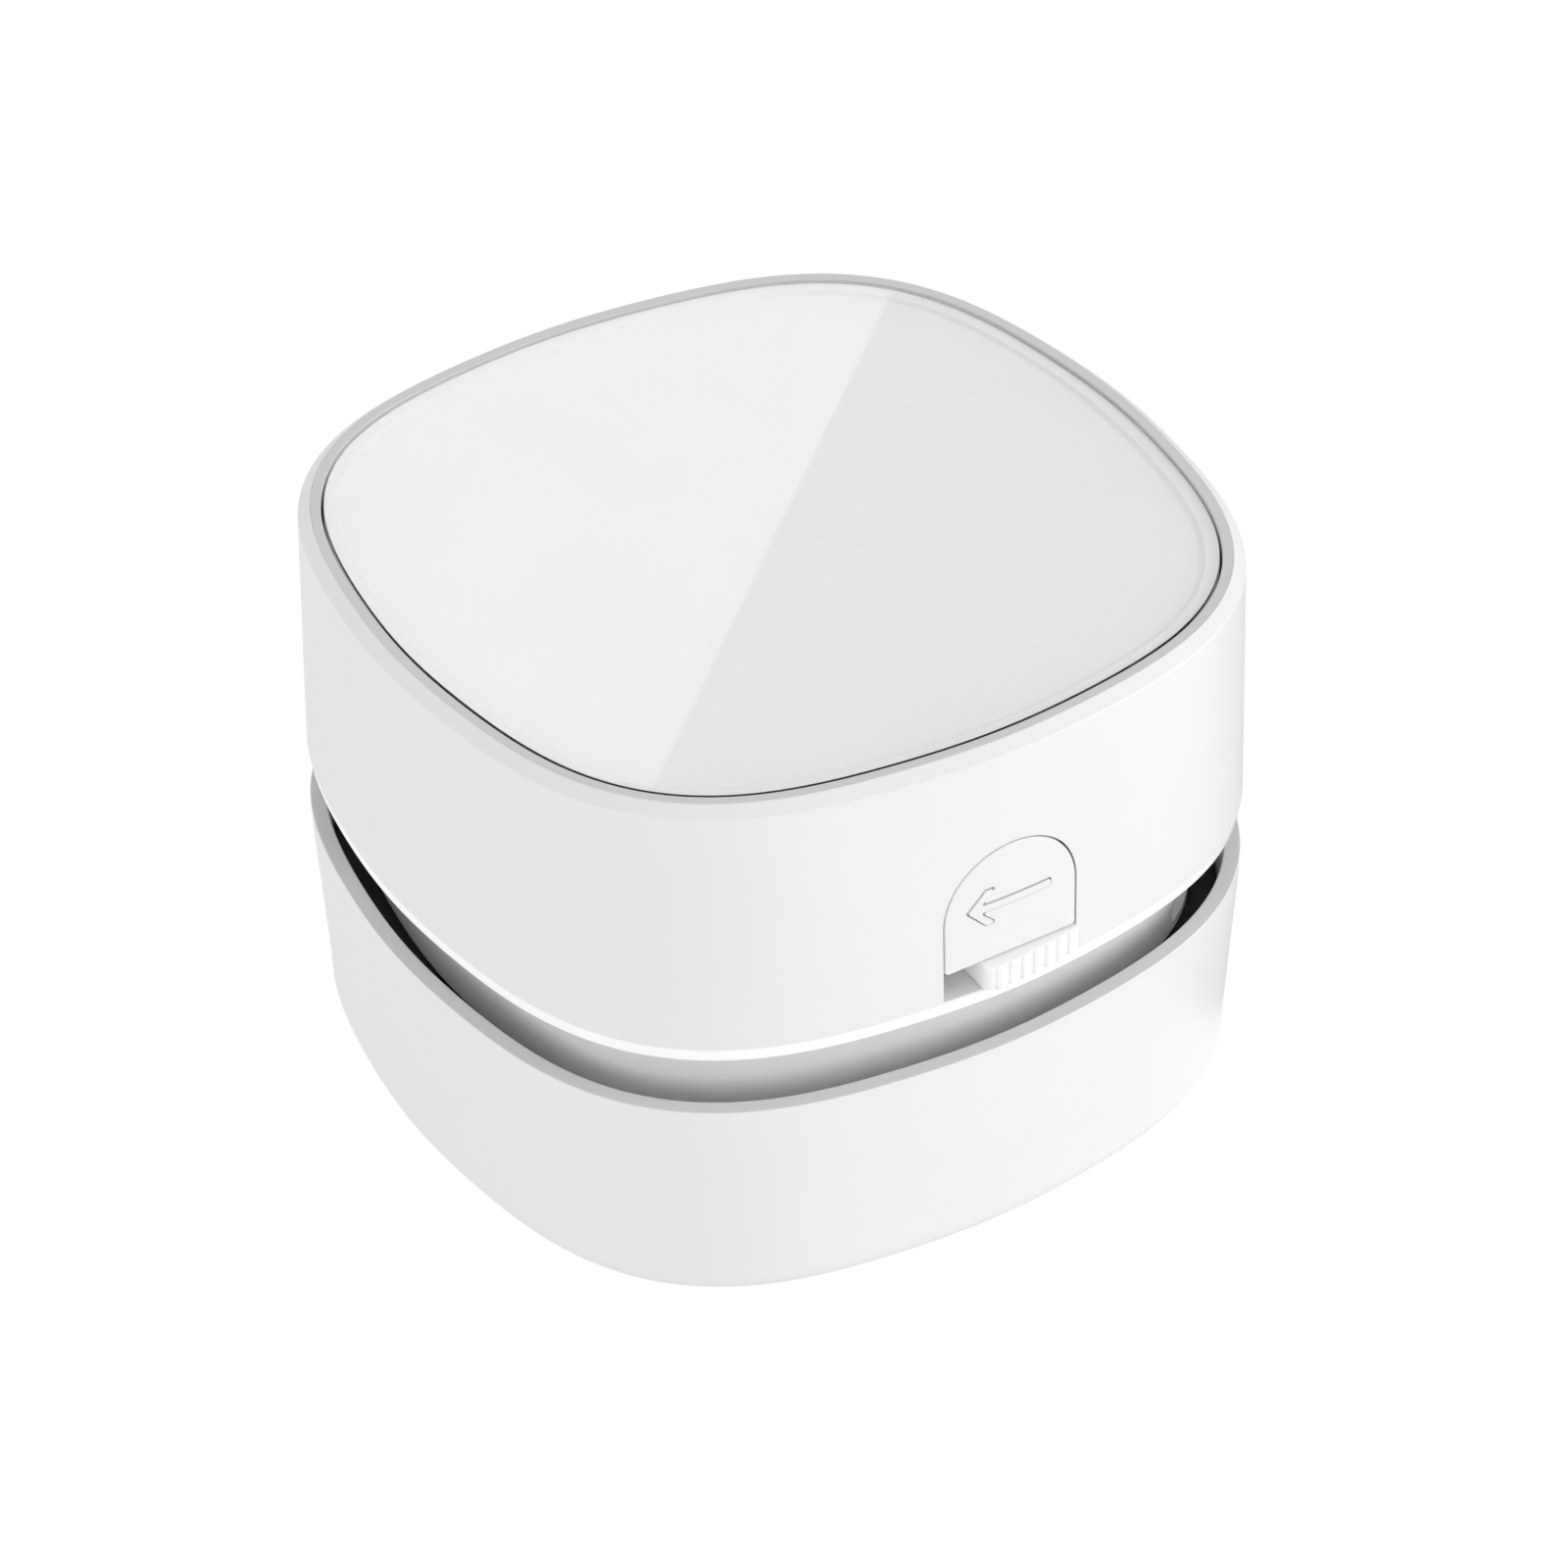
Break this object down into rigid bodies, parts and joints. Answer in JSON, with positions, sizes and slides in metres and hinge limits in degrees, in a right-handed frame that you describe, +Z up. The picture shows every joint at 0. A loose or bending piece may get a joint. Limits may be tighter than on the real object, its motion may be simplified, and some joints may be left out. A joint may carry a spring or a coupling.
{
  "type": "desktop mini vacuum cleaner",
  "caption": "Rounded-square desktop crumb vacuum: lift-off motor unit with press plate and side latch over a dust bin with suction inlet and brush.",
  "frame": {"origin": "centre of the base on the table, under the four feet", "axes": "+Z up, -Y towards the wall with the latch, +X to the right seen from the latch side"},
  "size_m": [0.085, 0.0859, 0.059],
  "materials": {
    "white_shell": "matt to satin white moulded plastic",
    "trim_grey": "satin light grey",
    "clear_panel": "clear and glossy over white",
    "white_inner": "satin white, inner mouldings",
    "neck_white": "matt light grey white",
    "seal_rubber": "soft black rubber",
    "foot_rubber": "matt dark grey rubber",
    "dark_plastic": "matt charcoal plastic",
    "filter_paper": "pleated off-white paper",
    "bristle_nylon": "fine light grey nylon",
    "steel": "satin steel",
    "spring_steel": "bright drawn wire",
    "motor_steel": "drawn steel can",
    "bronze": "sintered bronze",
    "magnet": "matt black ferrite",
    "core_steel": "iron laminations and enamelled wire",
    "cell_wrap": "blue shrink wrap over a steel cell",
    "nickel": "nickel plated",
    "board_green": "green circuit board",
    "chip_black": "black moulding",
    "lead_black": "black insulated wire",
    "lead_red": "red insulated wire"
  },
  "bodies": {
    "dust_bin": {"dust_bin": "white_shell", "bin_foot_1": "foot_rubber", "bin_foot_2": "foot_rubber", "bin_foot_3": "foot_rubber", "bin_foot_4": "foot_rubber", "suction_duct": "white_inner", "flap_pin": "steel", "brush_base": "white_inner", "brush_bristles": "bristle_nylon"},
    "suction_flap": {"suction_flap": "dark_plastic"},
    "upper_unit": {"upper_housing": "white_shell", "trim_ring": "trim_grey", "latch_cover_plate": "white_shell", "latch_spring": "spring_steel", "neck_frame": "neck_white", "bin_seal": "seal_rubber", "filter_frame": "white_inner", "filter_media": "filter_paper", "fan_cover": "dark_plastic", "fan_cover_screw_1": "steel", "fan_cover_screw_2": "steel", "motor_deck": "dark_plastic", "motor_can": "motor_steel", "motor_end_cap": "white_inner", "motor_magnet_1": "magnet", "motor_magnet_2": "magnet", "shaft_bushing_1": "bronze", "shaft_bushing_2": "bronze", "motor_damper": "seal_rubber", "motor_screw_1": "steel", "motor_screw_2": "steel", "chassis_screw_1": "steel", "chassis_screw_2": "steel", "chassis_screw_3": "steel", "chassis_screw_4": "steel", "battery_cell": "cell_wrap", "battery_tab_1": "nickel", "battery_tab_2": "nickel", "battery_lead_1": "lead_red", "battery_lead_2": "lead_red", "motor_lead_1": "lead_black", "motor_lead_2": "lead_black", "circuit_board": "board_green", "controller_chip": "chip_black", "board_screw_1": "steel", "board_screw_2": "steel", "usb_socket": "nickel", "power_switch": "chip_black", "plate_spring_1": "spring_steel", "plate_spring_2": "spring_steel", "plate_spring_3": "spring_steel", "plate_spring_4": "spring_steel"},
    "rotor": {"impeller": "dark_plastic", "motor_shaft": "steel", "armature": "core_steel"},
    "power_plate": {"clear_panel": "clear_panel", "panel_tray": "white_shell", "switch_plunger": "dark_plastic"},
    "release_slider": {"release_slider": "white_shell"}
  },
  "joints": [
    {"name": "unit_lift", "type": "slide", "parent": "dust_bin", "child": "upper_unit", "axis": [0, 0, 1], "range_m": [0, 0.03]},
    {"name": "flap_hinge", "type": "hinge", "parent": "dust_bin", "child": "suction_flap", "pos_m": [0, 0.0104, 0.00725], "axis": [-1, 0, 0], "range_deg": [0, 35]},
    {"name": "plate_press", "type": "slide", "parent": "upper_unit", "child": "power_plate", "axis": [0, 0, -1], "range_m": [0, 0.0012], "stiffness_N_per_m": 350, "springref_m": -0.002, "deforming": ["plate_spring_1", "plate_spring_2", "plate_spring_3", "plate_spring_4"]},
    {"name": "slider_release", "type": "slide", "parent": "upper_unit", "child": "release_slider", "axis": [-1, 0, 0], "range_m": [0, 0.0035], "stiffness_N_per_m": 150, "springref_m": -0.002, "deforming": ["latch_spring"]},
    {"name": "rotor_spin", "type": "hinge", "parent": "upper_unit", "child": "rotor", "pos_m": [0, 0, 0.0328], "axis": [0, 0, 1], "continuous": true}
  ]
}
